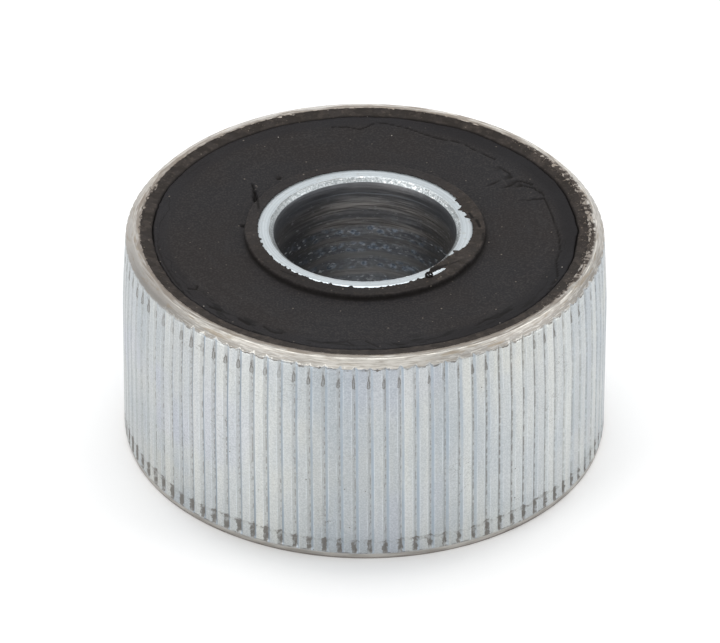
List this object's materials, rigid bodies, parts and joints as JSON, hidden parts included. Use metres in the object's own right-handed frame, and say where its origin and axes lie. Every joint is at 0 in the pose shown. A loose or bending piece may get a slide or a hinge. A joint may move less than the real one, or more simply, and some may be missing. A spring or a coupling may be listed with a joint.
{
  "type": "rubber metal bush",
  "caption": "Round rubber metal bush: a straight-knurled steel outer sleeve and a plain steel inner sleeve with rubber moulded and bonded between them.",
  "frame": {"origin": "centre of the lower end face, on the bore's axis, at the height of the surface the bush stands on", "axes": "+Z along the bore, towards the end with the lead-in chamfer; the bush is symmetric about Z, apart from the phase of its knurl"},
  "size_m": [0.032, 0.032, 0.0153],
  "materials": {
    "plated_steel": "clear zinc plating over turned and knurled steel, dull silver with a bluish cast, bare and warmer on the end chamfer",
    "rubber": "matt black moulded rubber, dusty brown on the thin lip and on the collar"
  },
  "bodies": {
    "root": {"outer_sleeve": "plated_steel", "rubber_body": "rubber", "inner_sleeve": "plated_steel"}
  },
  "joints": []
}
